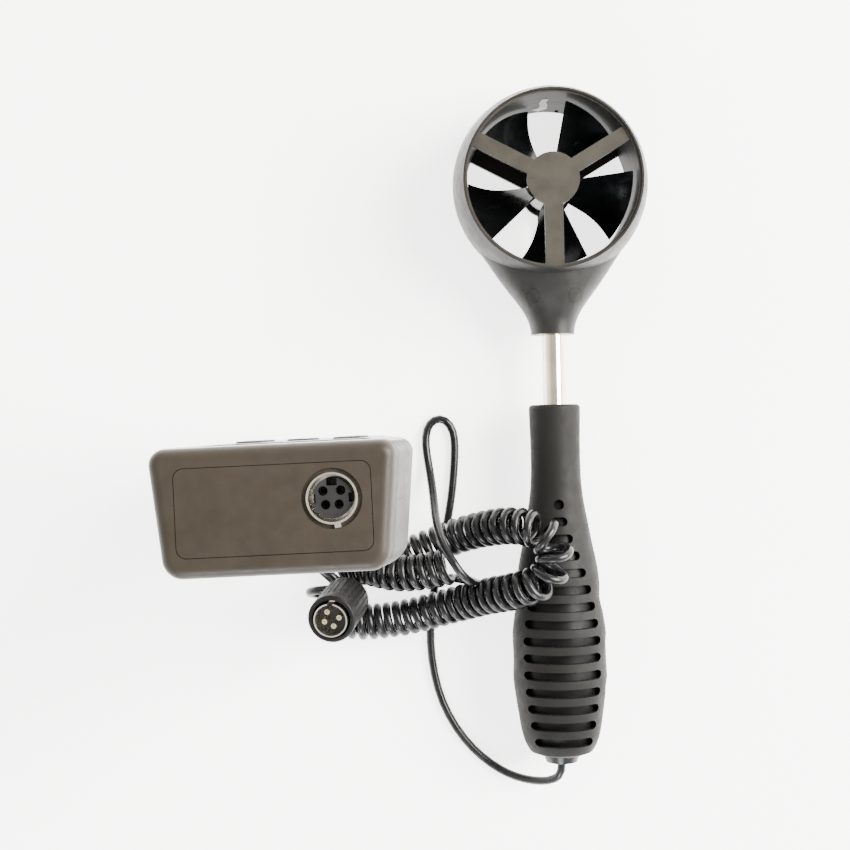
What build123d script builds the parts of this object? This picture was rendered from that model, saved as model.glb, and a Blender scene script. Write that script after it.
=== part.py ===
"""Vane anemometer: a hand-held meter standing on its lower end, and a vane probe lying beside it,
joined to a loose round plug by a lead that is partly curled into a coil.

Frame: millimetres, +Z up, the table at Z 0, origin midway between the meter and the probe.
The probe lies along Y with its vane head at +Y. The meter's display faces +Y, its socket faces up.
"""
import os
from math import pi, radians, tan

from build123d import *

os.makedirs("parts", exist_ok=True)

# ---- places --------------------------------------------------------------------------------------
PROBE_X = 48.0          # probe centreline
PROBE_Z = 18.6          # its height above the table
HEAD_Y = 95.0           # centre of the vane duct
METER_X = -46.5
METER_Y = -22.0
METER_TURN = 1.5        # degrees about Z
RUN = 0.05              # radial clearance of a running or sliding fit
SEAM = 0.2              # gap between two moulded covers
EASE = 0.3              # clearance round a loose or moving piece

# ---- vane head, measured from the centre of the duct ----------------------------------------------
HEAD_HALF = 18.6        # half the head's thickness
RIM_R = 34.8            # outside at both rims
BELLY_R = 38.5          # outside at mid thickness
SLEEVE_R = 34.0         # outside of the guards' sleeves
DUCT_R = 33.2           # inside of the duct
GUARD_DEPTH = 1.4       # the spokes lie this far below the rim
GUARD_HUB_R = 10.25
SPOKE_T = 2.2
NOTCH_ANGLE, NOTCH_Z = 81.5, -15.0       # small notch in the rear guard's sleeve
SPOKES = ((30.5, 5.9), (152.0, 5.9), (270.0, 7.2))      # angle, width
NECK_END = -59.2
# distance from the duct's centre, half width, half thickness
NECK = (
    (-22.0, 31.0, 16.9),
    (-27.5, 27.3, 16.3),
    (-34.5, 22.6, 15.2),
    (-40.0, 18.8, 13.9),
    (-45.0, 15.0, 12.3),
    (-50.0, 11.5, 10.4),
    (-54.5, 9.4, 9.2),
    (NECK_END, 8.6, 8.6),
)
NECK_WALL = 2.2
CAVITY_TOP = -37.5      # the neck's hollow starts here
COLLAR_LENGTH = 7.0
COLLAR_R = 6.4
SCREW_X = 8.35
SCREW_Y = -44.6
CAP_R = 2.7             # flush caps over the two head screws
SCREW_HEAD_R, SCREW_R = 2.3, 1.1

# ---- impeller ------------------------------------------------------------------------------------
BLADES = 5
FIRST_BLADE = 55.0      # angle of one blade's middle
BLADE_R = 32.2
BLADE_T = 0.9
# distance out, +side edge, -side edge, half height
BLADE_STATIONS = (
    (6.0, 2.6, -2.2, 6.6),
    (14.0, 5.8, -4.4, 7.2),
    (22.0, 9.4, -7.4, 7.8),
    (28.0, 12.1, -11.6, 8.2),
    (33.5, 14.6, -17.0, 8.5),
)
HUB_R, HUB_HALF = 9.0, 9.4
AXLE_R = 0.75
AXLE_HALF = 14.2
BEARING_R, BEARING_T = 2.5, 2.6
BOSS_R = 4.6
MAGNET_R = 4.2

# ---- telescopic stem -----------------------------------------------------------------------------
TUBE_R, TUBE_BORE = 4.3, 3.85            # fixed outer tube
BUSH_R = 3.65                            # bore of its mouth bush
BUSH_LENGTH = 6.0
INNER_R, INNER_BORE = BUSH_R - RUN, 3.0
INNER_END = -58.0                        # lower end of the sliding tube
STOP_LENGTH = 5.0
TUBE_END = -70.0                         # lower end of the outer tube
STEM_TOP = HEAD_Y + NECK_END - EASE

# ---- handle --------------------------------------------------------------------------------------
# place along Y, radius
GRIP = (
    (8.0, 10.2),
    (-4.0, 9.9),
    (-16.0, 9.8),
    (-28.7, 10.6),
    (-38.0, 12.2),
    (-47.0, 13.8),
    (-59.0, 16.0),
    (-71.0, 16.9),
    (-78.0, 18.0),
    (-84.0, 18.55),
    (-92.0, 18.3),
    (-100.0, 18.55),
    (-107.0, 17.8),
    (-118.0, 16.2),
    (-124.0, 14.9),
    (-129.0, 12.4),
)
GRIP_END_R = 9.0
GRIP_END = -130.4
GRIP_WALL = 2.4
GRIP_LIP = 3.0                           # solid end ring at the top
GRIP_TOP_EDGE = 1.5
# finger dents at +X: place along Y, radius there
DENTS = ((-67.5, 16.6), (-86.5, 18.5), (-104.5, 18.2))
DENT_R, DENT_DEPTH = 12.0, 0.9
FIRST_SLOT, SLOT_PITCH, SLOT_H = -31.2, 6.6, 3.5
SLOT_W = (4.0, 6.1, 10.0, 15.0, 19.5, 23.5, 26.5, 28.5, 30.0, 30.0, 30.0, 29.0, 27.5, 25.5, 22.5)
GROMMET_R, GROMMET_END_R = 7.5, 6.2
GROMMET_TOP, GROMMET_END = -127.0, -133.5
CLAMP_R, CLAMP_TOP, CLAMP_END = 5.0, -112.0, -118.0

# ---- cord ----------------------------------------------------------------------------------------
CORD_D = 3.2
COIL_D = 14.4
ARC_SHARE = 0.45                         # an arc takes this much of its shorter run
PLUG_FOOT = (-33.6, -64.8, 5.4)           # lower end of the plug's strain relief
PLUG_FACE = (-40.7, -71.6, 51.3)         # rim of its skirt
LEAD_ROUTE = (
    (PROBE_X, GROMMET_END, PROBE_Z),
    (PROBE_X, -138.0, PROBE_Z),
    (45.4, -141.4, 16.4),
    (40.4, -143.2, 12.4),
    (34.0, -143.4, 7.8),
    (27.2, -142.0, 3.8),
    (20.4, -138.2, 1.65),
    (13.2, -132.0, 1.65),
    (6.4, -123.2, 1.65),
    (1.0, -112.5, 1.65),
    (-2.0, -101.0, 1.65),
    (-3.4, -88.0, 1.65),
    (-2.6, -74.0, 1.65),
    (0.4, -58.0, 1.65),
    (4.2, -42.0, 1.65),
    (6.8, -28.5, 1.65),
    (8.0, -17.5, 1.65),
    (8.6, -8.5, 1.65),
    (8.2, -1.8, 1.65),
    (5.0, 3.2, 1.65),
    (0.2, 3.4, 1.65),
    (-3.0, -0.8, 1.65),
    (-3.5, -7.5, 1.7),
    (-2.3, -15.5, 2.8),
    (-1.2, -23.5, 6.6),
    (-0.6, -30.0, 12.0),
    (-0.2, -35.6, 18.6),
    (0.9, -41.0, 26.2),
    (3.0, -46.8, 33.4),
    (6.4, -52.2, 37.6),
    (9.2, -55.2, 37.6),
    (12.4, -56.8, 34.6),
    (14.0, -55.8, 30.2),
    (12.0, -54.6, 27.6),
    (6.4, -54.0, 26.9),
)
COIL_ROUTE = (
    (6.4, -54.0, 26.9),
    (2.0, -55.2, 26.2),
    (-7.0, -57.0, 24.0),
    (-17.0, -57.6, 20.2),
    (-27.0, -55.4, 14.4),
    (-37.5, -54.4, 8.8),
    (-45.4, -60.0, 7.5),
    (-46.4, -69.4, 7.5),
    (-40.8, -76.6, 7.5),
    (-31.4, -78.4, 7.5),
    (-21.4, -77.9, 7.8),
    (-12.0, -76.4, 9.2),
    (-3.0, -74.0, 11.2),
    (9.0, -70.5, 15.4),
    (20.5, -66.5, 25.0),
    (31.0, -63.5, 36.5),
    (41.5, -59.5, 42.2),
    (46.0, -49.5, 42.2),
    (41.0, -40.5, 41.2),
    (31.0, -38.3, 34.0),
    (20.5, -40.0, 22.4),
    (9.5, -43.4, 12.8),
    (-1.5, -47.6, 9.6),
    (-12.5, -52.0, 7.5),
)
TAIL_ROUTE = (
    (-12.5, -52.0, 7.5),
    (-16.8, -53.56, 6.5),
    (-20.8, -55.4, 4.2),
    (-24.6, -57.6, 2.2),
    (-28.4, -60.4, 1.65),
    (-31.8, -63.2, 1.75),
    (-33.3, -64.5, 3.4),
    PLUG_FOOT,
)

# ---- plug ----------------------------------------------------------------------------------------
RELIEF_LENGTH, RELIEF_R, RELIEF_TIP_R = 16.0, 4.6, 2.6
PLUG_R = 9.1
PLUG_LENGTH = 46.0
BODY_END = 44.5                          # front of the moulded body
SKIRT_R, SKIRT_BORE = 6.45, 5.95
SKIRT_START = 34.0
FACE_R = 7.4                             # recess in the body round the skirt
PINS = ((2.5, 2.1), (-2.5, 2.1), (-1.9, -1.8), (1.9, -1.8))
PIN_R, PIN_BORE = 1.0, 0.5
PIN_TURN = -25.0

# ---- meter, in its own upright frame: X across, +Y the display side, Z from its lower end ---------
METER_H = 180.0
FRONT_Y = 18.5
# height, front half width, back half width, back Y
CASE = (
    (0.0, 30.0, 27.5, -16.5),
    (30.0, 31.5, 28.5, -17.4),
    (80.0, 35.0, 31.5, -18.3),
    (125.0, 39.4, 35.6, -18.8),
    (145.0, 39.8, 36.0, -18.8),
    (163.0, 37.8, 34.2, -18.6),
    (172.0, 36.2, 32.6, -18.5),
    (METER_H, 35.0, 31.5, -18.5),
)
FRONT_CORNER, BACK_CORNER = 4.5, 6.0
CASE_WALL = 2.3
SPLIT_Y = 1.0                            # parting plane between the two case halves
CAP_Z = 172.0                            # the end cap starts here
CAP_EDGE = 3.5
PLATE_W, PLATE_D, PLATE_T = 55.7, 25.5, 1.3
PLATE_Y = 0.2
SOCKET_X, SOCKET_Y = 16.5, 2.6
SOCKET_RECESS = 8.6
SOCKET_R, SOCKET_BORE = 7.3, 6.7
SOCKET_LOW = 164.0
SOCKET_TAB = -80.0                       # angle of the ring's small outer tab
INSULATOR_R = 5.75
KEYWAYS = ((90.0, 2.2, 3.0), (0.0, 1.1, 2.6), (180.0, 1.1, 2.6))   # angle, depth, width
CONTACT_R, CONTACT_BORE = 1.35, 1.05
CONTACT_TOP = 172.5
WINDOW = (0.0, 128.0, 52.0, 40.0)        # X, Z, width, height
WINDOW_T = 1.5
LABEL_T = 0.5
KEYS = (
    ("key_power", -17.0, 84.0),
    ("key_light", 17.0, 84.0),
    ("key_hold", -17.0, 64.0),
    ("key_max_min", 17.0, 64.0),
    ("key_unit", 0.0, 74.0),
)
KEY_W, KEY_H, KEY_R = 12.0, 8.0, 3.0
KEY_PROUD = 0.7
KEY_DEPTH = 3.4                          # a key reaches this far below the display side
DOOR_LOW, DOOR_TOP, DOOR_W, DOOR_T = 18.0, 76.0, 34.0, 1.2
DOOR_LIP = 3.0                           # ledge under the door's edges
DOOR_SCREW_Z = 70.0
LEDGE_TOP = 62.0                         # the opening under the door ends here
CASE_SCREWS = ((22.0, 12.0), (24.0, 160.0))   # X either side, Z
CASE_SCREW_R = 1.25
SIDE_SLITS = (158.0, 128.0)
BOARD_FRONT, BOARD_T = 6.8, 1.6           # depth of the main board's face below the display side
BOARD_SCREWS = ((-26.0, 64.0), (26.0, 64.0), (-26.0, 152.0), (26.0, 152.0))
BOARD_SCREW_R, BOARD_POST_R = 1.2, 2.5


def probe_place(shape):
    """Move a piece from the duct's centre to where the head lies."""
    return Pos(PROBE_X, HEAD_Y, PROBE_Z) * shape


def tube(r_out, r_in, low, high):
    """A round tube along Z."""
    outer = Pos(0, 0, (low + high) / 2) * Cylinder(r_out, high - low)
    return outer - Pos(0, 0, (low + high) / 2) * Cylinder(r_in, high - low + 2)


def rod(radius, low, high):
    """A round rod along Z."""
    return Pos(0, 0, (low + high) / 2) * Cylinder(radius, high - low)


def along_probe(shape, y_zero=0.0):
    """Lay a piece built along Z on the probe's centreline: its +Z becomes +Y."""
    return Pos(PROBE_X, y_zero, PROBE_Z) * Rot(-90, 0, 0) * shape


def save(shape, name):
    """Write one named piece."""
    export_step(shape, "parts/" + name + ".step")


# ---- vane head ------------------------------------------------------------------------------------
def neck_form(inset):
    """The teardrop neck, drawn in by inset."""
    sections = []
    for y, half_w, half_t in NECK:
        plane = Plane(origin=(0, y, 0), x_dir=(1, 0, 0), z_dir=(0, -1, 0))
        sections.append(plane * Ellipse(half_w - inset, half_t - inset))
    return loft(sections)


def head_form():
    """The whole outside of the head: a barrel-shaped ring that runs into the neck."""
    with BuildPart() as barrel:
        with BuildSketch(Plane.XZ):
            with BuildLine():
                Polyline((RIM_R, -HEAD_HALF), (0, -HEAD_HALF), (0, HEAD_HALF), (RIM_R, HEAD_HALF))
                ThreePointArc((RIM_R, HEAD_HALF), (BELLY_R, 0), (RIM_R, -HEAD_HALF))
            make_face()
        revolve(axis=Axis.Z)
    return barrel.part + neck_form(0)


def head_shells(form):
    """The front and rear mouldings, hollow in the neck, with a fine gap at the parting line."""
    body = form - rod(SLEEVE_R + RUN, -HEAD_HALF - 1, HEAD_HALF + 1)
    hollow_box = Pos(0, (CAVITY_TOP + NECK_END) / 2, 0) * Box(60, CAVITY_TOP - NECK_END + 2 * NECK_WALL, 40)
    hollow = neck_form(NECK_WALL) & hollow_box
    body = body - (hollow - rod(SLEEVE_R + NECK_WALL, -HEAD_HALF, HEAD_HALF))
    seat = Rot(90, 0, 0) * Cylinder(COLLAR_R, COLLAR_LENGTH + 2)
    body = body - Pos(0, NECK_END + COLLAR_LENGTH / 2, 0) * seat
    front = body & Pos(0, 0, 50 + SEAM / 2) * Box(200, 200, 100)
    rear = body & Pos(0, 0, -50 - SEAM / 2) * Box(200, 200, 100)
    for side in (-1, 1):
        place = Pos(side * SCREW_X, SCREW_Y, 0)
        front = front + (place * rod(CAP_R + 1.2, SEAM / 2, HEAD_HALF) & form)
        rear = rear + (place * rod(CAP_R + 1.2, -HEAD_HALF, -SEAM / 2) & form)
        front = front - place * rod(CAP_R, 5.0, HEAD_HALF)
        front = front - place * rod(SCREW_R + RUN, -1, HEAD_HALF)
        rear = rear - place * rod(SCREW_R, -8.0, 0)
    return front, rear


def head_screws():
    """Two screws that hold the shells together."""
    screws = []
    for side in (-1, 1):
        screw = rod(SCREW_R, -7.5, 5.0) + rod(SCREW_HEAD_R, 5.0, 7.0)
        slot = Pos(0, 0, 7.0) * Box(3.4, 0.7, 1.0)
        screws.append(Pos(side * SCREW_X, SCREW_Y, 0) * (screw - slot))
    return Compound(children=screws)


def neck_caps(form):
    """Flush round caps over the screws."""
    caps = []
    for side in (-1, 1):
        blank = Pos(side * SCREW_X, SCREW_Y, 0) * rod(CAP_R - 0.1, 8.0, HEAD_HALF)
        caps.append(blank & form)
    return Compound(children=caps)


def guard(side):
    """A spoked guard with its hub, bearing boss and sleeve; side is 1 at the front, -1 at the rear."""
    top = HEAD_HALF - GUARD_DEPTH
    low = top - SPOKE_T
    piece = tube(SLEEVE_R, DUCT_R, 0.1, top + 0.4)
    for angle, width in SPOKES:
        spoke = Pos(DUCT_R / 2 + 0.3, 0, (top + low) / 2) * Box(DUCT_R + 0.6, width, SPOKE_T)
        piece = piece + Rot(0, 0, angle) * spoke
    piece = piece + rod(GUARD_HUB_R, low, top)
    piece = piece + rod(BOSS_R, low - 3.4, low)
    piece = piece - rod(BEARING_R, low - 4, low - 3.4 + BEARING_T)
    piece = piece - rod(AXLE_R + EASE, low - 5, top - 1.0)
    if side > 0:
        return piece
    notch = Pos(DUCT_R + 0.3, 0, NOTCH_Z) * Box(1.2, 1.4, 4.5)
    return mirror(piece, about=Plane.XY) - Rot(0, 0, NOTCH_ANGLE) * notch


def bearing(side):
    """A jewel bearing ring pressed into a guard's boss."""
    low = HEAD_HALF - GUARD_DEPTH - SPOKE_T - 3.4
    ring = tube(BEARING_R, AXLE_R + RUN, low, low + BEARING_T)
    return ring if side > 0 else mirror(ring, about=Plane.XY)


def blade():
    """One twisted blade along +X, its +Y edge towards the front."""
    sections = []
    for x, plus_y, minus_y, half_z in BLADE_STATIONS:
        span = Vector(0, plus_y - minus_y, 2 * half_z)
        middle = ((plus_y + minus_y) / 2, 0)
        plane = Plane(origin=(x, middle[0], middle[1]), x_dir=span.normalized(), z_dir=(1, 0, 0))
        sections.append(plane * Rectangle(span.length, BLADE_T))
    return loft(sections, ruled=False)


def impeller():
    """Hub and blades in one moulding, hollow at the rear round the magnet."""
    piece = rod(HUB_R, -HUB_HALF, HUB_HALF)
    ring = rod(BLADE_R, -HEAD_HALF, HEAD_HALF)
    one = blade() & ring
    for number in range(BLADES):
        piece = piece + Rot(0, 0, FIRST_BLADE + number * 360 / BLADES) * one
    piece = piece - (rod(HUB_R - 1.4, -HUB_HALF - 6, -1.0) - rod(2.2, -HUB_HALF - 6, 0))
    return piece - rod(AXLE_R, -HUB_HALF - 1, HUB_HALF + 1)


def impeller_shaft():
    """The steel axle."""
    return rod(AXLE_R, -AXLE_HALF, AXLE_HALF)


def rotor_magnet():
    """Ring magnet on the hub's boss."""
    return tube(MAGNET_R, 2.2, -7.5, -3.5)


def sensor_board():
    """Small board in the neck."""
    return Pos(0, -44.0, -3.4) * Box(8.0, 9.0, 1.0)


def sensor_chip():
    """Amplifier chip on the sensor board."""
    return Pos(0, -44.0, -2.4) * Box(4.0, 5.0, 1.0)


def neck_collar():
    """Dark collar in the neck's end that grips the sliding tube."""
    low = HEAD_Y + NECK_END
    return along_probe(tube(COLLAR_R, INNER_R, low, low + COLLAR_LENGTH))


# ---- stem -----------------------------------------------------------------------------------------
def inner_tube():
    """Sliding tube, fixed to the head."""
    return along_probe(tube(INNER_R, INNER_BORE, INNER_END, HEAD_Y + NECK_END + COLLAR_LENGTH + 1))


def tube_stop():
    """Ring on the sliding tube's lower end that meets the bush at full reach."""
    return along_probe(tube(TUBE_BORE - RUN, INNER_R, INNER_END, INNER_END + STOP_LENGTH))


def outer_tube():
    """Polished tube, fixed in the handle."""
    return along_probe(tube(TUBE_R, TUBE_BORE, TUBE_END, STEM_TOP))


def tube_bush():
    """Guide bush in the outer tube's mouth."""
    return along_probe(tube(TUBE_BORE, BUSH_R, STEM_TOP - BUSH_LENGTH, STEM_TOP))


# ---- handle ---------------------------------------------------------------------------------------
def grip_form(inset, top, end):
    """A turned solid inside the handle's outline, drawn in by inset."""
    points = [(radius - inset, y) for y, radius in GRIP if y < top]
    points = [(GRIP[0][1] - inset, top)] + points
    with BuildPart() as turned:
        with BuildSketch(Plane.XY):
            with BuildLine():
                side = Spline(points)
                Line(side @ 1, (GRIP_END_R - inset, end))
                Line((GRIP_END_R - inset, end), (0, end))
                Line((0, end), (0, top))
                Line((0, top), side @ 0)
            make_face()
        revolve(axis=Axis.Y)
    return Pos(PROBE_X, 0, PROBE_Z) * turned.part


def handle_grip():
    """Slotted outer sleeve of the handle."""
    top = GRIP[0][0]
    grip = grip_form(0, top, GRIP_END)
    grip = fillet(grip.edges().sort_by(Axis.Y)[-1], GRIP_TOP_EDGE)
    grip = grip - grip_form(GRIP_WALL, top - GRIP_LIP, GRIP_END + GRIP_WALL)
    for y, radius in DENTS:
        dent = Pos(PROBE_X + radius + DENT_R - DENT_DEPTH, y, PROBE_Z) * Cylinder(DENT_R, 50)
        grip = grip - dent
    grip = grip - along_probe(rod(TUBE_R, -10, top + 5))
    grip = grip - along_probe(rod(GROMMET_R, GROMMET_END, GROMMET_TOP + 3))
    for number, width in enumerate(SLOT_W):
        y = FIRST_SLOT - number * SLOT_PITCH
        if width > SLOT_H + 1:
            outline = SlotOverall(width, SLOT_H)
        else:
            outline = Circle(width / 2)
        grip = grip - Pos(PROBE_X, y, -5) * extrude(outline, 50)
    return grip


def handle_core():
    """Glossy inner moulding that holds the tube, seen through the slots."""
    top = GRIP[0][0] - GRIP_LIP
    core = grip_form(GRIP_WALL, top, GRIP_END + GRIP_WALL)
    core = core - along_probe(rod(TUBE_R, TUBE_END, top + 5))
    core = core - along_probe(rod(CORD_D / 2, -140, TUBE_END + 5))
    core = core - along_probe(rod(CLAMP_R, CLAMP_END, CLAMP_TOP))
    return core - along_probe(rod(GROMMET_R, GROMMET_END, GROMMET_TOP))


def cable_gland():
    """Soft grommet at the handle's lower end."""
    taper = Pos(0, 0, (GROMMET_END + GROMMET_TOP - 3) / 2) * Rot(180, 0, 0) * Cone(
        GROMMET_R, GROMMET_END_R, GROMMET_TOP - 3 - GROMMET_END)
    piece = taper + rod(GROMMET_R, GROMMET_TOP - 3, GROMMET_TOP)
    return along_probe(piece - rod(CORD_D / 2, -140, GROMMET_TOP + 1))


def cable_clamp():
    """Clamp ring that holds the lead inside the handle."""
    return along_probe(tube(CLAMP_R, CORD_D / 2, CLAMP_END, CLAMP_TOP))


def inner_lead():
    """The lead's end inside the handle, from the gland to the tube."""
    return along_probe(rod(CORD_D / 2, GROMMET_END, TUBE_END - 1))


# ---- cord -----------------------------------------------------------------------------------------
def bend_radii(route):
    """The largest arc that each corner's two runs allow."""
    points = [Vector(*point) for point in route]
    radii = []
    for before, corner, after in zip(points, points[1:], points[2:]):
        turn = (corner - before).get_angle(after - corner)
        shorter = min((corner - before).length, (after - corner).length)
        radii.append(ARC_SHARE * shorter / tan(radians(turn / 2)))
    return radii


def cord_tube(route, diameter, name):
    """A tube along straight runs joined by tangent arcs."""
    radii = bend_radii(route)
    path = FilletPolyline(*route, radius=radii)
    start = Plane(origin=path @ 0, z_dir=path % 0)
    piece = sweep(start * Circle(diameter / 2), path=path)
    section = pi * diameter ** 2 / 4
    print(name, "length %.0f" % path.length, "volume ratio %.4f" % (piece.volume / (section * path.length)))
    print("  radii", " ".join("%.1f" % radius for radius in radii))
    return piece


# ---- plug -----------------------------------------------------------------------------------------
def plug_place(shape):
    """Lean a piece built along Z on the plug's own centreline."""
    foot = Vector(*PLUG_FOOT)
    lean = Plane(origin=foot, x_dir=(1, 0, 0), z_dir=Vector(*PLUG_FACE) - foot)
    return lean * shape


def pin_spots(turn):
    """Centres of the four contacts."""
    spots = []
    for x, y in PINS:
        spot = Vector(x, y, 0).rotate(Axis.Z, turn)
        spots.append((spot.X, spot.Y))
    return spots


def plug_body():
    """Ribbed moulding round the contacts."""
    blank = rod(PLUG_R, RELIEF_LENGTH - 1, BODY_END)
    blank = chamfer(blank.edges().sort_by(Axis.Z)[0], 2.2)
    blank = fillet(blank.edges().sort_by(Axis.Z)[-1], 1.0)
    for number in range(28):
        groove = Pos(PLUG_R + 0.15, 0, 29) * Cylinder(0.42, 20)
        blank = blank - Rot(0, 0, number * 360 / 28) * groove
    blank = blank - rod(RELIEF_R, 0, RELIEF_LENGTH + 4)
    blank = blank - rod(FACE_R, SKIRT_START + 4, BODY_END + 1)
    return plug_place(blank - rod(SKIRT_R, SKIRT_START, SKIRT_START + 4))


def plug_strain_relief():
    """Tapered sleeve on the cord, ringed with grooves."""
    cone = Pos(0, 0, RELIEF_LENGTH / 2) * Cone(RELIEF_TIP_R, RELIEF_R, RELIEF_LENGTH)
    piece = cone + rod(RELIEF_R, RELIEF_LENGTH, RELIEF_LENGTH + 4)
    for number in range(5):
        piece = piece - tube(RELIEF_R + 2, 2.3 + 0.27 * number, 2.5 + 2.5 * number, 3.4 + 2.5 * number)
    return plug_place(piece)


def plug_shell():
    """Metal skirt."""
    skirt = tube(SKIRT_R, SKIRT_BORE, SKIRT_START, PLUG_LENGTH)
    return plug_place(skirt - Pos(0, SKIRT_R, 44) * Box(2.2, 3, 6))


def plug_insulator():
    """Disc that carries the pins."""
    disc = rod(SKIRT_BORE, SKIRT_START, 39.5)
    for x, y in pin_spots(PIN_TURN):
        disc = disc - Pos(x, y, 0) * rod(PIN_R, SKIRT_START - 1, 41)
    return plug_place(disc)


def plug_pins():
    """Four hollow-tipped pins."""
    pins = []
    for x, y in pin_spots(PIN_TURN):
        pins.append(Pos(x, y, 0) * (rod(PIN_R, SKIRT_START, 44.8) - rod(PIN_BORE, 43, 46)))
    return plug_place(Compound(children=pins))


# ---- meter ----------------------------------------------------------------------------------------
def meter_place(shape):
    """Stand a piece of the meter where the meter stands."""
    return Pos(METER_X, METER_Y, 0) * Rot(0, 0, METER_TURN) * shape


def case_section(height, front_half, back_half, back_y, inset):
    """One level section of the case: a trapezium with rounded corners."""
    front_y = FRONT_Y - inset
    back_y = back_y + inset
    corners = (
        (front_half - inset, front_y),
        (-front_half + inset, front_y),
        (-back_half + inset, back_y),
        (back_half - inset, back_y),
    )
    sketch = make_face(Polyline(*corners, close=True))
    tops = sketch.vertices().sort_by(Axis.Y)
    sketch = fillet(tops[2:], FRONT_CORNER - inset)
    lows = sketch.vertices().sort_by(Axis.Y)
    sketch = fillet(lows[:2], BACK_CORNER - inset)
    return Pos(0, 0, height) * sketch


def case_form(inset):
    """The whole outside of the meter, drawn in by inset."""
    return loft([case_section(*row, inset) for row in CASE])


def level_box(low, high):
    """A large box between two heights."""
    return Pos(0, 0, (low + high) / 2) * Box(120, 80, high - low)


def window_cut(x, z, width, height, radius, deep):
    """A rounded block let into the display side."""
    plane = Plane(origin=(x, FRONT_Y + 1, z), x_dir=(1, 0, 0), z_dir=(0, -1, 0))
    return extrude(plane * RectangleRounded(width, height, radius), deep + 1)


def case_halves(form, hollow):
    """Front and rear covers between the lower end and the end cap."""
    shell = (form & level_box(0, CAP_Z - SEAM)) - (hollow & level_box(CASE_WALL, METER_H))
    front = shell & Pos(0, 50 + SPLIT_Y + SEAM / 2, 90) * Box(120, 100, 200)
    rear = shell & Pos(0, -50 + SPLIT_Y - SEAM / 2, 90) * Box(120, 100, 200)
    x, z, width, height = WINDOW
    front = front - window_cut(x, z, width, height, 3, WINDOW_T)
    front = front - window_cut(x, z, width - 4, height - 4, 2, 6)
    for _, key_x, key_z in KEYS:
        front = front - window_cut(key_x, key_z, KEY_W, KEY_H, KEY_R, 6)
    front = front - window_cut(0, 74, 56, 40, 3, LABEL_T)
    recess = (form - case_form(DOOR_T)) & door_block(SEAM, DOOR_LOW, DOOR_TOP)
    rear = rear - recess - door_block(-DOOR_LIP, DOOR_LOW, LEDGE_TOP)
    rear = rear - meter_rod(0, DOOR_SCREW_Z, CASE_SCREW_R, -30, -10)
    for x, z in CASE_SCREWS:
        for side in (-x, x):
            front = front + (meter_rod(side, z, 3.2, SPLIT_Y + SEAM / 2, FRONT_Y) & form)
            rear = rear + (meter_rod(side, z, 3.8, -30, SPLIT_Y - SEAM / 2) & form)
            front = front - meter_rod(side, z, CASE_SCREW_R + RUN, 0, 12)
            rear = rear - meter_rod(side, z, CASE_SCREW_R + RUN, -30, SPLIT_Y)
            rear = rear - meter_rod(side, z, 2.9, -30, -8)
    for x, z in BOARD_SCREWS:
        front = front + meter_rod(x, z, BOARD_POST_R, FRONT_Y - BOARD_FRONT, FRONT_Y - 2)
        front = front - meter_rod(x, z, BOARD_SCREW_R + RUN, 0, FRONT_Y - 3)
    for x in (-40, 40):
        for z in SIDE_SLITS:
            front = front - Pos(x, SPLIT_Y + 0.4, z) * Box(4, 1.0, 7)
    return front, rear


def meter_rod(x, z, radius, low, high):
    """A rod along Y between two places."""
    return Pos(x, (low + high) / 2, z) * Rot(90, 0, 0) * Cylinder(radius, high - low)


def door_block(grow, low, high):
    """The battery door's outline as a block through the rear wall."""
    block = Box(DOOR_W + 2 * grow, 12, high - low + 2 * grow)
    return Pos(0, -17.5, (low + high) / 2) * block


def case_screws():
    """Four long screws from the back."""
    screws = []
    for x, z in CASE_SCREWS:
        for side in (-x, x):
            screw = meter_rod(side, z, CASE_SCREW_R, -8, 11) + meter_rod(side, z, 2.4, -10, -8)
            screws.append(screw - Pos(side, -10, z) * Box(3.6, 1.4, 0.8))
    return Compound(children=screws)


def end_cap(form, hollow):
    """Moulded cap at the socket end, with a shallow seat for the end plate."""
    cap = form & level_box(CAP_Z, METER_H)
    cap = fillet(cap.faces().sort_by(Axis.Z)[-1].edges(), CAP_EDGE)
    cap = cap - (hollow & level_box(CAP_Z - 1, METER_H - 4.0))
    seat = Pos(0, PLATE_Y, METER_H - PLATE_T) * extrude(RectangleRounded(PLATE_W, PLATE_D, 3), 5)
    cap = cap - seat
    return cap - Pos(SOCKET_X, SOCKET_Y, 0) * rod(SOCKET_R, CAP_Z - 2, METER_H + 1)


def end_plate():
    """Flat plate round the socket, let into the cap with a fine gap."""
    outline = RectangleRounded(PLATE_W - 2 * SEAM, PLATE_D - 2 * SEAM, 3 - SEAM)
    plate = Pos(0, PLATE_Y, METER_H - PLATE_T) * extrude(outline, PLATE_T - 0.1)
    return plate - Pos(SOCKET_X, SOCKET_Y, 0) * rod(SOCKET_RECESS, METER_H - 3, METER_H + 1)


def socket_place(shape):
    """Move a piece to the socket's centreline."""
    return Pos(SOCKET_X, SOCKET_Y, 0) * shape


def socket_shell():
    """Metal ring of the socket, keyed at the display side."""
    ring = tube(SOCKET_R, SOCKET_BORE, SOCKET_LOW, METER_H - 0.2)
    ring = ring - Pos(0, SOCKET_R, METER_H) * Box(3.4, 3, 6)
    tab = Pos(SOCKET_R + 0.4, 0, METER_H - 0.75) * Box(1.4, 1.8, 1.0)
    ring = ring + Rot(0, 0, SOCKET_TAB) * tab + rod(SOCKET_BORE, SOCKET_LOW, SOCKET_LOW + 1.5)
    for x, y in PINS:
        ring = ring - Pos(x, y, 0) * rod(CONTACT_R + 0.2, SOCKET_LOW - 1, SOCKET_LOW + 3)
    return socket_place(ring)


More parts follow.
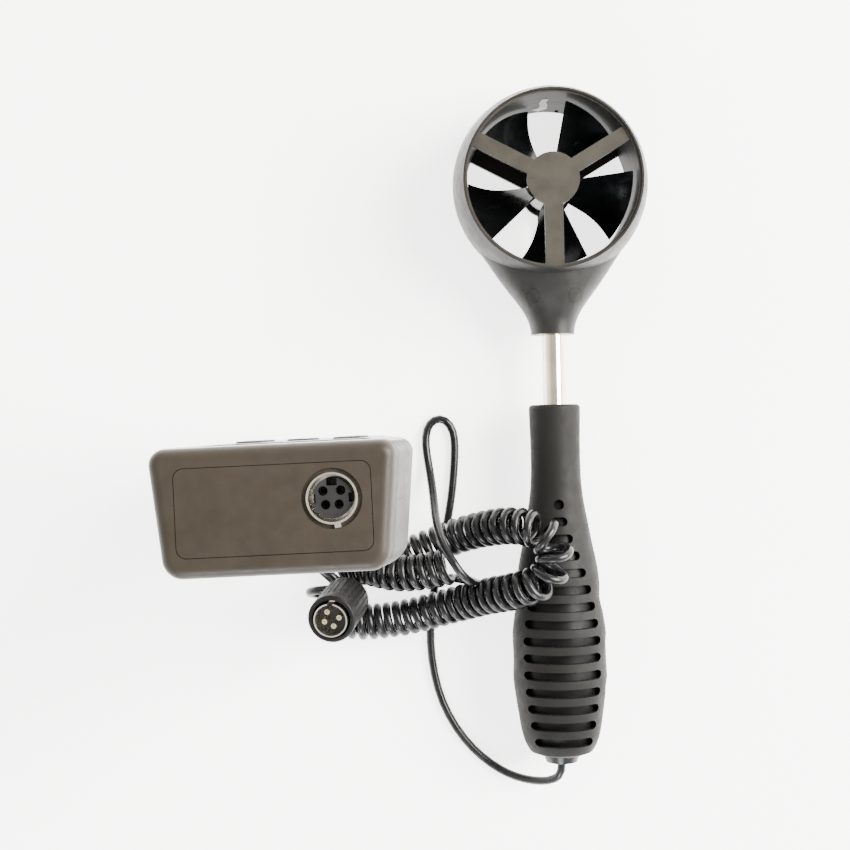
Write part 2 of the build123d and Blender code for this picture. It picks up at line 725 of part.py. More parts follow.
def socket_insulator():
    """Black insulator with three keyways and four contact holes."""
    core = rod(INSULATOR_R, SOCKET_LOW + 1.5, METER_H - 1.6)
    for angle, depth, width in KEYWAYS:
        core = core - Rot(0, 0, angle) * (Pos(INSULATOR_R, 0, METER_H - 4) * Box(2 * depth, width, 8))
    for x, y in PINS:
        core = core - Pos(x, y, 0) * rod(CONTACT_R, SOCKET_LOW - 1, METER_H)
    return socket_place(core)


def socket_contacts():
    """Four tubular contacts with solder tails."""
    contacts = []
    for x, y in PINS:
        piece = tube(CONTACT_R, CONTACT_BORE, SOCKET_LOW + 2, CONTACT_TOP)
        piece = piece + rod(CONTACT_R - 0.1, SOCKET_LOW - 4, SOCKET_LOW + 2)
        contacts.append(Pos(x, y, 0) * piece)
    return socket_place(Compound(children=contacts))


def display_window():
    """Clear window over the display."""
    x, z, width, height = WINDOW
    plane = Plane(origin=(x, FRONT_Y - 0.2, z), x_dir=(1, 0, 0), z_dir=(0, -1, 0))
    return extrude(plane * RectangleRounded(width - 0.3, height - 0.3, 2.9), WINDOW_T - 0.2)


def lcd_panel():
    """Glass display panel behind the window."""
    x, z, width, height = WINDOW
    return Pos(x, FRONT_Y - 5.4, z) * Box(width + 2, 2.6, height + 2)


def front_label():
    """Printed overlay round the keys."""
    plane = Plane(origin=(0, FRONT_Y, 74), x_dir=(1, 0, 0), z_dir=(0, -1, 0))
    sheet = extrude(plane * RectangleRounded(55.7, 39.7, 2.9), LABEL_T)
    for _, key_x, key_z in KEYS:
        sheet = sheet - window_cut(key_x, key_z, KEY_W, KEY_H, KEY_R, 2)
    return sheet


def key(x, z):
    """One key, standing a little proud of the cover."""
    plane = Plane(origin=(x, FRONT_Y + KEY_PROUD, z), x_dir=(1, 0, 0), z_dir=(0, -1, 0))
    width, height = KEY_W - 2 * EASE, KEY_H - 2 * EASE
    cap = extrude(plane * RectangleRounded(width, height, KEY_R - EASE), KEY_PROUD + KEY_DEPTH)
    return fillet(cap.faces().sort_by(Axis.Y)[-1].edges(), 0.5)


def key_mat():
    """Silicone mat behind the keys."""
    return Pos(0, FRONT_Y - 5.5, 74) * Box(44, 2.4, 36)


def main_board():
    """Main circuit board, drilled for its four screws."""
    board = Pos(0, FRONT_Y - BOARD_FRONT - BOARD_T / 2, 108) * Box(58, BOARD_T, 96)
    for x, z in BOARD_SCREWS:
        board = board - meter_rod(x, z, BOARD_SCREW_R + RUN, 0, FRONT_Y)
    return board


def board_screws():
    """Four screws through the main board into the display side's posts."""
    back = FRONT_Y - BOARD_FRONT - BOARD_T
    screws = []
    for x, z in BOARD_SCREWS:
        shank = meter_rod(x, z, BOARD_SCREW_R, back, FRONT_Y - 3.5)
        screws.append(shank + meter_rod(x, z, 2.2, back - 1.4, back))
    return Compound(children=screws)


def battery():
    """Nine-volt block battery."""
    block = Pos(0, -5.6, 46) * Box(26.5, 17.0, 46)
    return fillet(block.edges().filter_by(Axis.Z), 2.0)


def battery_contacts():
    """Two snap contacts above the battery."""
    pair = []
    for x in (-6.4, 6.4):
        pair.append(Pos(x, -5.6, 0) * rod(3.0, 69, 72))
    return Compound(children=pair)


def contact_board():
    """Small board that carries the battery snaps."""
    return Pos(0, -5.6, 72.8) * Box(26, 14, 1.6)


def battery_door(form):
    """Cover over the battery, let into the rear case and ribbed for the thumb."""
    door = (form - case_form(DOOR_T)) & door_block(0, DOOR_LOW, DOOR_TOP)
    for number in range(5):
        groove = Pos(0, -18.6, DOOR_LOW + 8 + 2.4 * number) * Box(18, 1.6, 1.0)
        door = door - groove
    return door - meter_rod(0, DOOR_SCREW_Z, 1.5, -30, -10)


def door_screw():
    """Screw that holds the battery door."""
    screw = meter_rod(0, DOOR_SCREW_Z, CASE_SCREW_R, -18.9, -14.5)
    head = meter_rod(0, DOOR_SCREW_Z, 2.4, -19.9, -18.9)
    return screw + head - Pos(0, -19.9, DOOR_SCREW_Z) * Box(3.6, 0.9, 0.8)


def build_probe():
    """Vane head, stem and handle."""
    form = head_form()
    front, rear = head_shells(form)
    save(probe_place(front), "head_front_shell")
    save(probe_place(rear), "head_rear_shell")
    save(probe_place(head_screws()), "head_screws")
    save(probe_place(neck_caps(form)), "neck_caps")
    save(probe_place(guard(1)), "front_guard")
    save(probe_place(guard(-1)), "rear_guard")
    save(probe_place(bearing(1)), "front_bearing")
    save(probe_place(bearing(-1)), "rear_bearing")
    save(probe_place(impeller()), "impeller")
    save(probe_place(impeller_shaft()), "impeller_shaft")
    save(probe_place(rotor_magnet()), "rotor_magnet")
    save(probe_place(sensor_board()), "sensor_board")
    save(probe_place(sensor_chip()), "sensor_chip")
    save(neck_collar(), "neck_collar")
    save(inner_tube(), "inner_tube")
    save(tube_stop(), "tube_stop")
    save(outer_tube(), "outer_tube")
    save(tube_bush(), "tube_bush")
    save(handle_grip(), "handle_grip")
    save(handle_core(), "handle_core")
    save(cable_gland(), "cable_gland")
    save(cable_clamp(), "cable_clamp")
    save(inner_lead(), "lead_inside_handle")


def build_cord():
    """Lead, coil, tail and plug."""
    save(cord_tube(LEAD_ROUTE, CORD_D, "lead"), "lead_tube")
    save(cord_tube(COIL_ROUTE, COIL_D, "coil"), "coil_tube")
    save(cord_tube(TAIL_ROUTE, CORD_D, "tail"), "coil_tail_tube")
    save(plug_body(), "plug_body")
    save(plug_strain_relief(), "plug_strain_relief")
    save(plug_shell(), "plug_shell")
    save(plug_insulator(), "plug_insulator")
    save(plug_pins(), "plug_pins")


def build_meter():
    """Case, socket, display, keys and what is inside."""
    form, hollow = case_form(0), case_form(CASE_WALL)
    front, rear = case_halves(form, hollow)
    save(meter_place(front), "front_case")
    save(meter_place(rear), "rear_case")
    save(meter_place(end_cap(form, hollow)), "top_end_cap")
    save(meter_place(end_plate()), "end_plate")
    save(meter_place(socket_shell()), "socket_shell")
    save(meter_place(socket_insulator()), "socket_insulator")
    save(meter_place(socket_contacts()), "socket_contacts")
    save(meter_place(display_window()), "display_window")
    save(meter_place(lcd_panel()), "lcd_panel")
    save(meter_place(front_label()), "front_label")
    for name, x, z in KEYS:
        save(meter_place(key(x, z)), name)
    save(meter_place(key_mat()), "key_mat")
    save(meter_place(main_board()), "main_board")
    save(meter_place(board_screws()), "board_screws")
    save(meter_place(battery()), "battery")
    save(meter_place(battery_contacts()), "battery_contacts")
    save(meter_place(contact_board()), "contact_board")
    save(meter_place(battery_door(form)), "battery_door")
    save(meter_place(door_screw()), "door_screw")
    save(meter_place(case_screws()), "case_screws")


build_probe()
build_cord()
build_meter()
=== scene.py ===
"""Vane anemometer: materials, cord, fine detail, floor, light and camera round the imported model.

Lengths are in metres. +Z is up, the floor is at Z 0, the probe lies along Y with its head at +Y.
"""
from math import cos, pi, radians, sin

import bpy
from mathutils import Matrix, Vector


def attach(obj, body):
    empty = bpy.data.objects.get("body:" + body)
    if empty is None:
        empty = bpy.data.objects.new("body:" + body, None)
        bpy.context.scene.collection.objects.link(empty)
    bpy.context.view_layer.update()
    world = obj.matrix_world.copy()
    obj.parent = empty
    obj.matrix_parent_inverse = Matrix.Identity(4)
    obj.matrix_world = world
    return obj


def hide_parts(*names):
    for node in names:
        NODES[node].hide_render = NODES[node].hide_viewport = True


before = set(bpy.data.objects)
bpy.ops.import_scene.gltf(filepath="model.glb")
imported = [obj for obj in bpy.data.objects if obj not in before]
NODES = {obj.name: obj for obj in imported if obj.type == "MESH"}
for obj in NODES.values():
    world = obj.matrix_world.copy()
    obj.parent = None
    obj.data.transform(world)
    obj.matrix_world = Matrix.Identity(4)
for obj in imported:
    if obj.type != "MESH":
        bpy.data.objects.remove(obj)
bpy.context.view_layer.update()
MM = 0.001

# ---- camera --------------------------------------------------------------------------------------
CAMERA_AT = (-3.5 * MM, 1.0 * MM, 565 * MM)
CAMERA_TURN = -1.24                     # degrees about Z
SENSOR_MM = 36.0
LENS_MM = 58.24

# ---- cord ----------------------------------------------------------------------------------------
CORD_D = 3.35 * MM
COIL_MEAN_R = 5.85 * MM                 # from the coil's axis to the cord's centreline
POINTS_PER_TURN = 14
POINT_RADIUS = 0.001                    # weight of a curve point, small so that the curve's box fits it
TURN_CLEAR = 3.4 * MM                   # closest that two turns lie
FIRST_ANGLE = 212.0                     # where the first turn meets the lead, degrees
LEAD_ROUTE = (
    (48.0, -133.5, 18.6),
    (48.0, -138.0, 18.6),
    (45.4, -141.4, 16.4),
    (40.4, -143.2, 12.4),
    (34.0, -143.4, 7.8),
    (27.2, -142.0, 3.8),
    (20.4, -138.2, 1.65),
    (13.2, -132.0, 1.65),
    (6.4, -123.2, 1.65),
    (1.0, -112.5, 1.65),
    (-2.0, -101.0, 1.65),
    (-3.4, -88.0, 1.65),
    (-2.6, -74.0, 1.65),
    (0.4, -58.0, 1.65),
    (4.2, -42.0, 1.65),
    (6.8, -28.5, 1.65),
    (8.0, -17.5, 1.65),
    (8.6, -8.5, 1.65),
    (8.2, -1.8, 1.65),
    (5.0, 3.2, 1.65),
    (0.2, 3.4, 1.65),
    (-3.0, -0.8, 1.65),
    (-3.5, -7.5, 1.7),
    (-2.3, -15.5, 2.8),
    (-1.2, -23.5, 6.6),
    (-0.6, -30.0, 12.0),
    (-0.2, -35.6, 18.6),
    (0.9, -41.0, 26.2),
    (3.0, -46.8, 33.4),
    (6.4, -52.2, 37.0),
    (9.2, -56.6, 36.4),
    (12.2, -59.6, 33.8),
    (14.5, -60.9, 28.8),
    (14.7, -61.2, 22.6),
    (12.2, -61.2, 17.6),
    (8.0, -60.6, 16.0),
    (5.2, -59.8, 18.8),
)
COIL_ROUTE = (
    (4.0, -54.7, 26.5),
    (2.0, -55.2, 26.2),
    (-7.0, -57.0, 24.0),
    (-17.0, -57.6, 20.2),
    (-27.0, -55.4, 14.4),
    (-37.5, -54.4, 8.8),
    (-45.4, -60.0, 7.5),
    (-46.4, -69.4, 7.5),
    (-40.8, -76.6, 7.5),
    (-31.4, -78.4, 7.5),
    (-21.4, -77.9, 7.8),
    (-12.0, -76.4, 9.2),
    (-3.0, -74.0, 11.2),
    (9.0, -70.5, 15.4),
    (20.5, -66.5, 25.0),
    (31.0, -63.5, 36.5),
    (41.5, -59.5, 42.2),
    (46.0, -49.5, 42.2),
    (41.0, -40.5, 41.2),
    (31.0, -38.3, 34.0),
    (20.5, -40.0, 22.4),
    (9.5, -43.4, 12.8),
    (-1.5, -47.6, 9.6),
    (-11.7, -51.7, 7.6),
)
TAIL_ROUTE = (
    (-13.0, -50.6, 1.9),
    (-16.4, -53.2, 1.7),
    (-20.8, -55.4, 1.7),
    (-24.8, -57.8, 1.7),
    (-28.4, -60.4, 1.65),
    (-31.8, -63.2, 1.75),
    (-33.3, -64.5, 3.4),
    (-33.6, -64.8, 5.4),
)
# share of the coil's length, winding pitch there in mm
PITCHES = ((0.0, 3.75), (0.25, 3.75), (0.45, 4.2), (0.62, 4.5), (0.78, 4.9), (0.92, 4.6), (1.0, 4.0))
WALK = 0.1 * MM                         # step along the coil's axis
BEND_REACH = 3 * MM                     # how far each way a bend is measured
LARGEST_OPENING = 0.6                   # most that a bend may open the turns out

# ---- marks on the probe and the meter ------------------------------------------------------------
# outline of the airflow arrow on the duct's wall: mm round the wall, mm above the floor
ARROW = (
    (-0.6, 24.0), (1.9, 24.0), (1.3, 18.5), (2.3, 14.0), (2.3, 8.8), (3.1, 8.4),
    (-0.6, 3.2), (-3.8, 8.6), (-0.9, 9.6), (-0.6, 13.4), (-1.5, 18.2),
)
ARROW_ANGLE = 93.5                      # its place round the duct, degrees
ARROW_R = 33.1
DUCT_AT = (48.0, 95.0)
METER_AT = (-46.5, -22.0)
METER_TURN = 1.5                        # degrees about Z
FRONT_Y = 18.5                          # the meter's display side, in its own frame
DIGIT_LIFT, LEGEND_LIFT = -4.05, 0.73   # off FRONT_Y
# words on the display side: text, body, X and Z in the meter's frame, height, lift, slot, finish
WORDS = (
    ("3.42", "frame", 2.0, 121.0, 15.0, DIGIT_LIFT, "black_gloss", "black"),
    ("m/s", "frame", -17.5, 112.0, 4.5, DIGIT_LIFT, "black_gloss", "black"),
    ("HOLD", "key_hold_cap", -17.0, 63.2, 2.2, LEGEND_LIFT, "label", "print"),
    ("MAX/MIN", "key_max_min_cap", 17.0, 63.3, 1.9, LEGEND_LIFT, "label", "print"),
    ("UNIT", "key_unit_cap", 0.0, 73.2, 2.2, LEGEND_LIFT, "label", "print"),
    ("ON/OFF", "key_power_cap", -17.0, 83.3, 2.0, LEGEND_LIFT, "label", "print"),
    ("LIGHT", "key_light_cap", 17.0, 83.2, 2.1, LEGEND_LIFT, "label", "print"),
)

# ---- floor and light -----------------------------------------------------------------------------
FLOOR_HALF = 4.0
FLOOR_GLOW = 3.0                        # the floor's own light, which brings it up to near-white
WORLD_STRENGTH = 3.0
# name, place, side of the square, power in watts, colour
LIGHTS = (
    ("key", (1.1, 0.35, 0.9), 1.0, 120.0, (1.0, 0.97, 0.92)),
    ("strip", (-0.1, -0.8, 0.55), 0.3, 8.0, (0.85, 0.92, 1.0)),
)


def metres(route):
    """A route's points as vectors in metres."""
    return [Vector(point) * MM for point in route]


def nurbs(name, points):
    """A smooth open curve with those control points."""
    curve = bpy.data.curves.new(name, "CURVE")
    curve.dimensions = "3D"
    curve.resolution_u = 8
    spline = curve.splines.new("NURBS")
    spline.points.add(len(points) - 1)
    for target, point in zip(spline.points, points):
        target.co = (*point, 1.0)
        target.radius = POINT_RADIUS
    spline.order_u = 3
    spline.use_endpoint_u = True
    piece = bpy.data.objects.new(name, curve)
    bpy.context.scene.collection.objects.link(piece)
    return piece


def read_line(route):
    """Points along the smooth line of a route."""
    guide = nurbs("guide", metres(route))
    mesh = bpy.data.meshes.new_from_object(guide)
    line = [vertex.co.copy() for vertex in mesh.vertices]
    bpy.data.objects.remove(guide)
    bpy.data.meshes.remove(mesh)
    return line


def spaced(line, step):
    """The line again, with points that far apart."""
    out, carry = [line[0].copy()], 0.0
    for start, end in zip(line, line[1:]):
        length = (end - start).length
        along = step - carry
        while along <= length:
            out.append(start.lerp(end, along / length))
            along += step
        carry = (carry + length) % step
    return out


def between(table, place):
    """A value read off a table of (place, value) rows."""
    for (low, first), (high, second) in zip(table, table[1:]):
        if place <= high:
            return first + (second - first) * (place - low) / (high - low)
    return table[-1][1]


def bend_at(line, index, reach):
    """How sharply the line bends near a point, as one over the radius."""
    low, high = max(index - reach, 0), min(index + reach, len(line) - 1)
    before, after = line[index] - line[low], line[high] - line[index]
    if before.length == 0 or after.length == 0:
        return 0.0
    return before.angle(after) / ((before.length + after.length) / 2)


def helix_points():
    """The curled stretch: turns wound round the coil's axis, opened out where the axis bends."""
    line = spaced(read_line(COIL_ROUTE), WALK)
    reach = round(BEND_REACH / WALK)
    tangent = (line[1] - line[0]).normalized()
    up = (Vector((0, 0, 1)) - tangent * tangent.z).normalized()
    points, angle, owed = [], radians(FIRST_ANGLE), 0.0
    spacing = 2 * pi / POINTS_PER_TURN
    for index in range(len(line) - 1):
        ahead = (line[index + 1] - line[index]).normalized()
        up = (up - ahead * up.dot(ahead)).normalized()
        side = ahead.cross(up)
        if owed <= 0:
            out = side * cos(angle) + up * sin(angle)
            points.append(line[index] + out * COIL_MEAN_R)
            owed += spacing
        open_out = 1 - min(COIL_MEAN_R * bend_at(line, index, reach), LARGEST_OPENING)
        pitch = max(between(PITCHES, index / len(line)) * MM, TURN_CLEAR / open_out)
        turn = 2 * pi * WALK / pitch
        angle -= turn
        owed -= turn
    return points


def build_cord():
    """The whole cord as one smooth line: lead, curls and tail."""
    points = metres(LEAD_ROUTE) + helix_points() + metres(TAIL_ROUTE)
    cord = nurbs("cord", points)
    cord.data.resolution_u = 2
    cord.data.bevel_depth = CORD_D / 2 / POINT_RADIUS
    cord.data.bevel_resolution = 4
    cord.data.use_fill_caps = True
    return cord


def build_arrow():
    """A printed airflow arrow, wrapped on the duct's inner wall."""
    corners = []
    for across, height in ARROW:
        angle = radians(ARROW_ANGLE) - across / ARROW_R
        corner = (DUCT_AT[0] + ARROW_R * cos(angle), DUCT_AT[1] + ARROW_R * sin(angle), height)
        corners.append(Vector(corner) * MM)
    mesh = bpy.data.meshes.new("airflow_arrow")
    mesh.from_pydata(corners, [], [tuple(range(len(corners)))])
    piece = bpy.data.objects.new("airflow_arrow", mesh)
    bpy.context.scene.collection.objects.link(piece)
    return piece


def build_words():
    """The reading on the display and the plain legends on the keys, each with its finish."""
    turn = radians(METER_TURN)
    pieces = []
    for number, (text, body, x, z, height, lift, slot, finish) in enumerate(WORDS):
        name = "word_" + str(number)
        curve = bpy.data.curves.new(name, "FONT")
        curve.body = text
        curve.size = height * MM
        curve.align_x = "CENTER"
        letters = bpy.data.objects.new("letters", curve)
        piece = bpy.data.objects.new(name, bpy.data.meshes.new_from_object(letters))
        bpy.data.objects.remove(letters)
        bpy.data.curves.remove(curve)
        y = FRONT_Y + lift
        across = METER_AT[0] + x * cos(turn) - y * sin(turn)
        along = METER_AT[1] + x * sin(turn) + y * cos(turn)
        piece.location = Vector((across, along, z)) * MM
        piece.rotation_euler = (radians(90), 0, radians(180) + turn)
        bpy.context.scene.collection.objects.link(piece)
        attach(piece, body)
        pieces.append((piece, finish))
    return pieces


def add_camera():
    """The camera straight above, turned a little."""
    data = bpy.data.cameras.new("camera")
    data.sensor_width = SENSOR_MM
    data.lens = LENS_MM
    camera = bpy.data.objects.new("camera", data)
    camera.location = CAMERA_AT
    camera.rotation_euler = (0, 0, radians(CAMERA_TURN))
    bpy.context.scene.collection.objects.link(camera)
    bpy.context.scene.camera = camera


add_camera()
cord = build_cord()
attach(cord, "frame")
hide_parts("lead_tube", "coil_tube", "coil_tail_tube")
words = build_words()
arrow = build_arrow()
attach(arrow, "vane_head")


# ---- materials -----------------------------------------------------------------------------------
class Surface:
    """A material's node tree with short names for the nodes it needs."""

    def __init__(self, name):
        self.material = bpy.data.materials.new(name)
        self.material.use_nodes = True
        self.tree = self.material.node_tree
        self.shader = self.tree.nodes["Principled BSDF"]

    def add(self, kind, **values):
        """A node with those properties or input values."""
        node = self.tree.nodes.new(kind)
        for key, value in values.items():
            if hasattr(node, key):
                setattr(node, key, value)
            else:
                node.inputs[key.replace("_", " ")].default_value = value
        return node

    def link(self, source, target):
        """Joins an output to an input."""
        self.tree.links.new(source, target)

    def feed(self, socket, source):
        """Joins an output to the shader's socket of that name."""
        self.link(source, self.shader.inputs[socket])

    def place(self, scale=(1, 1, 1)):
        """Object coordinates, stretched by scale."""
        coordinates = self.add("ShaderNodeTexCoord")
        mapping = self.add("ShaderNodeMapping")
        mapping.inputs["Scale"].default_value = scale
        self.link(coordinates.outputs["Object"], mapping.inputs["Vector"])
        return mapping.outputs["Vector"]

    def noise(self, scale, detail=3.0, stretch=(1, 1, 1)):
        """A noise value; scale is in features per metre."""
        noise = self.add("ShaderNodeTexNoise", Scale=scale, Detail=detail)
        self.link(self.place(stretch), noise.inputs["Vector"])
        return noise.outputs["Fac"]

    def ramp(self, value, low, high, span=(0.35, 0.65)):
        """Maps a value to a blend of two colours or greys."""
        ramp = self.add("ShaderNodeValToRGB")
        ramp.color_ramp.elements[0].position = span[0]
        ramp.color_ramp.elements[1].position = span[1]
        ramp.color_ramp.elements[0].color = (*low, 1)
        ramp.color_ramp.elements[1].color = (*high, 1)
        self.link(value, ramp.inputs["Fac"])
        return ramp.outputs["Color"]

    def facing(self, direction, span):
        """One where the surface faces along that direction either way, and none where it is side on."""
        geometry = self.add("ShaderNodeNewGeometry")
        along = self.add("ShaderNodeVectorMath", operation="DOT_PRODUCT")
        along.inputs[1].default_value = direction
        self.link(geometry.outputs["Normal"], along.inputs[0])
        size = self.add("ShaderNodeMath", operation="ABSOLUTE")
        self.link(along.outputs["Value"], size.inputs[0])
        return self.ramp(size.outputs["Value"], (0, 0, 0), (1, 1, 1), span)

    def two_tone(self, share, first, second):
        """A base colour that goes from the first to the second as the share goes from none to one."""
        mix = self.add("ShaderNodeMix", data_type="RGBA")
        colour_sockets = [socket for socket in mix.inputs if socket.type == "RGBA"]
        self.link(share, mix.inputs["Factor"])
        self.link(first, colour_sockets[0])
        self.link(second, colour_sockets[1])
        result = next(socket for socket in mix.outputs if socket.type == "RGBA")
        self.feed("Base Color", result)

    def bump(self, value, strength, depth):
        """Adds a bump on top of any before it."""
        bump = self.add("ShaderNodeBump", Strength=strength, Distance=depth)
        self.link(value, bump.inputs["Height"])
        if self.shader.inputs["Normal"].is_linked:
            self.link(self.shader.inputs["Normal"].links[0].from_socket, bump.inputs["Normal"])
        self.feed("Normal", bump.outputs["Normal"])


MOTTLE, GLOSS_PATCHES, TARNISH = 90, 260, 120     # features per metre
GLOSS_SPREAD = 0.06                               # how far the roughness strays each way
LEAST_ROUGHNESS = 0.02
COAT_ROUGHNESS = 0.12


def plastic(name, colour, roughness, grain, depth, vary=0.25, coat=0.0, specular=0.5):
    """A moulded plastic or rubber: slight mottling, fine moulded texture, uneven gloss."""
    surface = Surface(name)
    darker = tuple(channel * (1 - vary) for channel in colour)
    lighter = tuple(channel * (1 + vary) for channel in colour)
    surface.feed("Base Color", surface.ramp(surface.noise(MOTTLE, 4), darker, lighter))
    low = (max(roughness - GLOSS_SPREAD, LEAST_ROUGHNESS),) * 3
    high = (min(roughness + GLOSS_SPREAD, 1.0),) * 3
    surface.feed("Roughness", surface.ramp(surface.noise(GLOSS_PATCHES, 4), low, high))
    surface.bump(surface.noise(grain, 2), 0.5, depth)
    surface.shader.inputs["Coat Weight"].default_value = coat
    surface.shader.inputs["Coat Roughness"].default_value = COAT_ROUGHNESS
    surface.shader.inputs["Specular IOR Level"].default_value = specular
    return surface.material


def metal(name, colour, roughness, stretch=(1, 1, 1), grain=700, depth=0.000006):
    """A metal with fine drawn lines or a light tarnish."""
    surface = Surface(name)
    darker = tuple(channel * 0.82 for channel in colour)
    surface.feed("Base Color", surface.ramp(surface.noise(TARNISH, 4), darker, colour))
    low, high = (roughness * 0.7,) * 3, (roughness * 1.4,) * 3
    surface.feed("Roughness", surface.ramp(surface.noise(grain, 3, stretch), low, high))
    surface.bump(surface.noise(grain, 2, stretch), 0.4, depth)
    surface.shader.inputs["Metallic"].default_value = 1.0
    return surface.material


def case_material():
    """The meter's covers: pale on the display side and the back, dark along the sides."""
    surface = Surface("case")
    front = (-sin(radians(METER_TURN)), cos(radians(METER_TURN)), 0)
    dark = surface.ramp(surface.noise(MOTTLE, 4), (0.03, 0.0295, 0.028), (0.04, 0.039, 0.037))
    pale = surface.ramp(surface.noise(60, 4), (0.36, 0.35, 0.325), (0.42, 0.405, 0.38))
    surface.two_tone(surface.facing(front, (0.86, 0.9)), dark, pale)
    surface.feed("Roughness", surface.ramp(surface.noise(GLOSS_PATCHES, 4), (0.36,) * 3, (0.48,) * 3))
    surface.shader.inputs["Specular IOR Level"].default_value = 0.3
    surface.bump(surface.noise(2600, 2), 0.4, 0.00002)
    return surface.material


def duct_material():
    """The guards: matt warm grey on faces that point up or down and near-black, smoother, inside the
    duct; on one moulding the grey is painted light and the near-black is painted shade.
    """
    surface = Surface("guard")
    # faces that point up or down take the painted light colour, side-on walls inside the duct the painted
    # shade colour
    face = surface.facing((0, 0, 1), (0.6, 0.8))
    dark = surface.ramp(surface.noise(200, 3), (0.0055, 0.0053, 0.0045), (0.0085, 0.0082, 0.0072))
    pale = surface.ramp(surface.noise(160, 4), (0.024, 0.0215, 0.0168), (0.032, 0.0288, 0.0228))
    surface.two_tone(face, dark, pale)
    surface.feed("Roughness", surface.ramp(face, (0.46,) * 3, (0.58,) * 3, (0.1, 0.9)))
    surface.shader.inputs["Specular IOR Level"].default_value = 0.14
    surface.bump(surface.noise(2400, 2), 0.35, 0.00004)
    return surface.material


def board_material():
    """Green circuit board with a faint pattern of tracks."""
    surface = Surface("circuit_board")
    tracks = surface.add("ShaderNodeTexBrick", Scale=120.0)
    surface.link(surface.place(), tracks.inputs["Vector"])
    surface.feed("Base Color", surface.ramp(tracks.outputs["Fac"], (0.01, 0.12, 0.04), (0.05, 0.26, 0.1)))
    surface.shader.inputs["Roughness"].default_value = 0.35
    surface.bump(tracks.outputs["Fac"], 0.3, 0.0001)
    return surface.material


def window_material():
    """Clear, lightly smoked window."""
    surface = Surface("window")
    surface.feed("Base Color", surface.ramp(surface.noise(50, 2), (0.82, 0.84, 0.83), (0.9, 0.92, 0.91)))
    surface.shader.inputs["Roughness"].default_value = 0.04
    surface.shader.inputs["Transmission Weight"].default_value = 0.92
    surface.shader.inputs["IOR"].default_value = 1.46
    return surface.material


def lcd_material():
    """Grey-green reflective display with a fine cell grid."""
    surface = Surface("lcd")
    grid = surface.add("ShaderNodeTexChecker", Scale=900.0)
    surface.link(surface.place(), grid.inputs["Vector"])
    surface.feed("Base Color", surface.ramp(grid.outputs["Fac"], (0.36, 0.39, 0.33), (0.4, 0.43, 0.37)))
    surface.shader.inputs["Roughness"].default_value = 0.3
    return surface.material


MATERIALS = {
    "case": case_material(),
    "cap": plastic("cap", (0.0225, 0.0178, 0.0125), 0.42, 2600, 0.00005, vary=0.08, specular=0.2),
    "head": plastic("head", (0.011, 0.0108, 0.0098), 0.38, 2300, 0.00006, vary=0.12, specular=0.24),
    "guard": duct_material(),
    "blade": plastic("blade", (0.002, 0.0024, 0.0026), 0.16, 900, 0.00001, vary=0.3, specular=0.3),
    "grip": plastic("grip", (0.0085, 0.0082, 0.0074), 0.58, 2900, 0.00006, vary=0.12, specular=0.12),
    "core": plastic("core", (0.003, 0.003, 0.003), 0.45, 700, 0.00003, vary=0.3, specular=0.1),
    "black": plastic("black", (0.004, 0.004, 0.004), 0.3, 1500, 0.00003, vary=0.3),
    "socket": plastic("socket", (0.011, 0.011, 0.011), 0.4, 1800, 0.00003, vary=0.2, specular=0.3),
    "cord": plastic("cord", (0.0035, 0.0035, 0.004), 0.27, 900, 0.000004, vary=0.3, specular=0.32),
    "plug": plastic("plug", (0.0045, 0.0044, 0.0042), 0.5, 2200, 0.00008, vary=0.3, specular=0.14),
    "label": plastic("label", (0.3, 0.295, 0.275), 0.3, 1200, 0.00002, vary=0.04),
    "key": plastic("key", (0.03, 0.03, 0.032), 0.5, 2400, 0.00005, vary=0.1),
    "nylon": plastic("nylon", (0.4, 0.39, 0.36), 0.4, 1500, 0.00003, vary=0.05),
    "silicone": plastic("silicone", (0.25, 0.25, 0.25), 0.6, 1500, 0.00003, vary=0.1),
    "battery": plastic("battery", (0.05, 0.05, 0.07), 0.3, 1500, 0.00002, vary=0.1, coat=0.3),
    "print": plastic("print", (0.5, 0.5, 0.48), 0.5, 1500, 0.00002, vary=0.05),
    "board": board_material(),
    "window": window_material(),
    "lcd": lcd_material(),
    "steel": metal("steel", (0.55, 0.55, 0.54), 0.3),
    # the telescopic tubes are polished steel; their warm tint is a painted reflection of warm
    # surroundings
    "tube": metal("tube", (0.84, 0.74, 0.58), 0.12, (60, 1, 60), 900, 0.000003),
    "nickel": metal("nickel", (0.86, 0.82, 0.7), 0.2),
    "gold": metal("gold", (0.88, 0.8, 0.58), 0.22),
    # the socket contacts' gold is darkened to a dim tone: painted shade for their place deep inside the
    # socket's holes
    "gold_in_painted_shade": metal("gold_in_painted_shade", (0.09, 0.078, 0.05), 0.5),
    "brass": metal("brass", (0.75, 0.58, 0.3), 0.25),
    "magnet": metal("magnet", (0.16, 0.16, 0.17), 0.45),
}
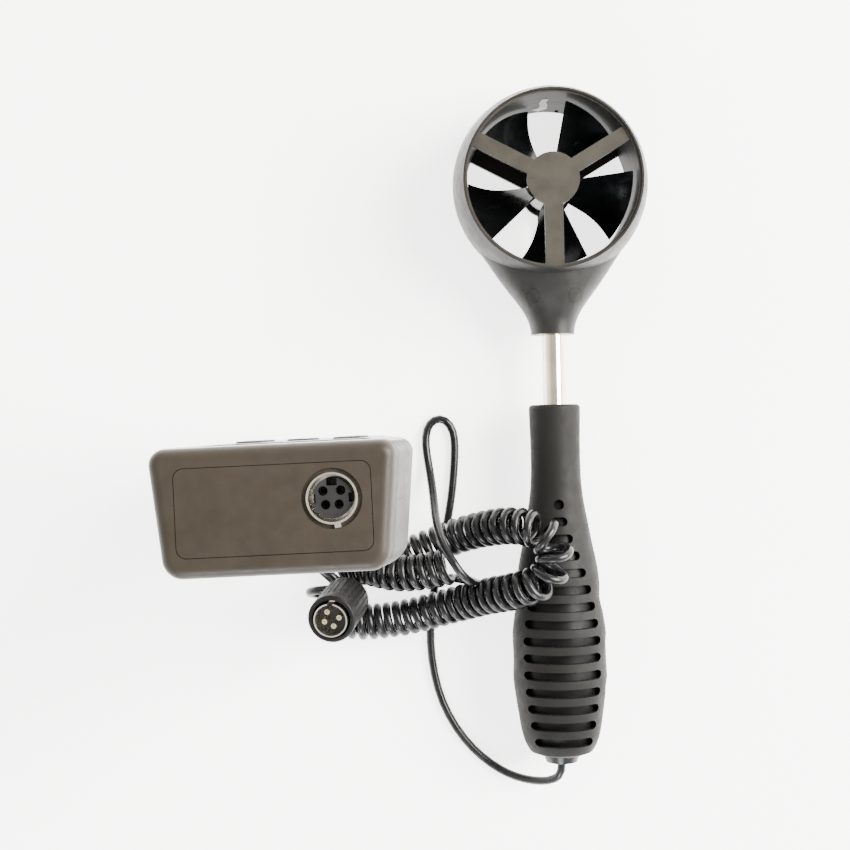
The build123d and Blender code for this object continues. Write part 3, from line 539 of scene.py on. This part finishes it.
FINISHES = {
    "case": ("front_case", "rear_case", "battery_door"),
    "cap": ("top_end_cap", "end_plate"),
    "head": ("head_front_shell", "head_rear_shell", "neck_caps"),
    "guard": ("front_guard", "rear_guard"),
    "blade": ("impeller",),
    "grip": ("handle_grip",),
    "core": ("handle_core",),
    "black": ("neck_collar", "sensor_chip", "plug_insulator"),
    "socket": ("socket_insulator",),
    "cord": ("cable_gland", "lead_inside_handle", "plug_strain_relief"),
    "plug": ("plug_body",),
    "label": ("front_label",),
    "key": ("key_power", "key_light", "key_hold", "key_max_min", "key_unit"),
    "nylon": ("tube_stop", "tube_bush", "cable_clamp"),
    "silicone": ("key_mat",),
    "battery": ("battery",),
    "board": ("main_board", "contact_board", "sensor_board"),
    "window": ("display_window",),
    "lcd": ("lcd_panel",),
    "steel": ("board_screws", "door_screw", "case_screws", "head_screws", "impeller_shaft"),
    "tube": ("outer_tube", "inner_tube"),
    "nickel": ("socket_shell", "plug_shell", "battery_contacts"),
    "gold": ("plug_pins",),
    # the socket contacts take the gold darkened as painted shade
    "gold_in_painted_shade": ("socket_contacts",),
    "brass": ("front_bearing", "rear_bearing"),
    "magnet": ("rotor_magnet",),
}


def paint(piece, name):
    """Gives a piece one finish all over."""
    piece.data.materials.clear()
    piece.data.materials.append(MATERIALS[name])


for finish, names in FINISHES.items():
    for name in names:
        paint(NODES[name], finish)
paint(cord, "cord")
paint(arrow, "print")
for word, finish in words:
    paint(word, finish)


# ---- surroundings --------------------------------------------------------------------------------
def add_floor():
    """A wide pale floor with a trace of unevenness."""
    mesh = bpy.data.meshes.new("floor")
    corners = [(x * FLOOR_HALF, y * FLOOR_HALF, 0) for x, y in ((-1, -1), (1, -1), (1, 1), (-1, 1))]
    mesh.from_pydata(corners, [], [(0, 1, 2, 3)])
    floor = bpy.data.objects.new("floor", mesh)
    bpy.context.scene.collection.objects.link(floor)
    surface = Surface("floor")
    tint = surface.ramp(surface.noise(3, 3), (0.93, 0.925, 0.915), (0.96, 0.955, 0.945))
    surface.feed("Base Color", tint)
    surface.shader.inputs["Roughness"].default_value = 0.7
    surface.shader.inputs["Specular IOR Level"].default_value = 0.1
    surface.shader.inputs["Emission Color"].default_value = (1.0, 0.99, 0.975, 1)
    surface.shader.inputs["Emission Strength"].default_value = FLOOR_GLOW
    mesh.materials.append(surface.material)


def add_light(name, place, size, power, colour):
    """A soft square light that looks at the origin."""
    data = bpy.data.lights.new(name, "AREA")
    data.size = size
    data.energy = power
    data.color = colour
    lamp = bpy.data.objects.new(name, data)
    lamp.location = place
    lamp.rotation_euler = (-Vector(place)).to_track_quat("-Z", "Y").to_euler()
    bpy.context.scene.collection.objects.link(lamp)


def add_world():
    """Light from all round: bright near the horizon, dimmer overhead."""
    world = bpy.data.worlds.new("world")
    world.use_nodes = True
    tree = world.node_tree
    coordinates = tree.nodes.new("ShaderNodeTexCoord")
    split = tree.nodes.new("ShaderNodeSeparateXYZ")
    ramp = tree.nodes.new("ShaderNodeValToRGB")
    tree.links.new(coordinates.outputs["Generated"], split.inputs["Vector"])
    tree.links.new(split.outputs["Z"], ramp.inputs["Fac"])
    tree.links.new(ramp.outputs["Color"], tree.nodes["Background"].inputs["Color"])
    ramp.color_ramp.elements[0].position = 0.25
    ramp.color_ramp.elements[0].color = (1.0, 0.99, 0.97, 1)
    ramp.color_ramp.elements[1].position = 0.9
    ramp.color_ramp.elements[1].color = (0.32, 0.31, 0.3, 1)
    tree.nodes["Background"].inputs["Strength"].default_value = WORLD_STRENGTH
    bpy.context.scene.world = world


add_floor()
add_world()
for light in LIGHTS:
    add_light(*light)
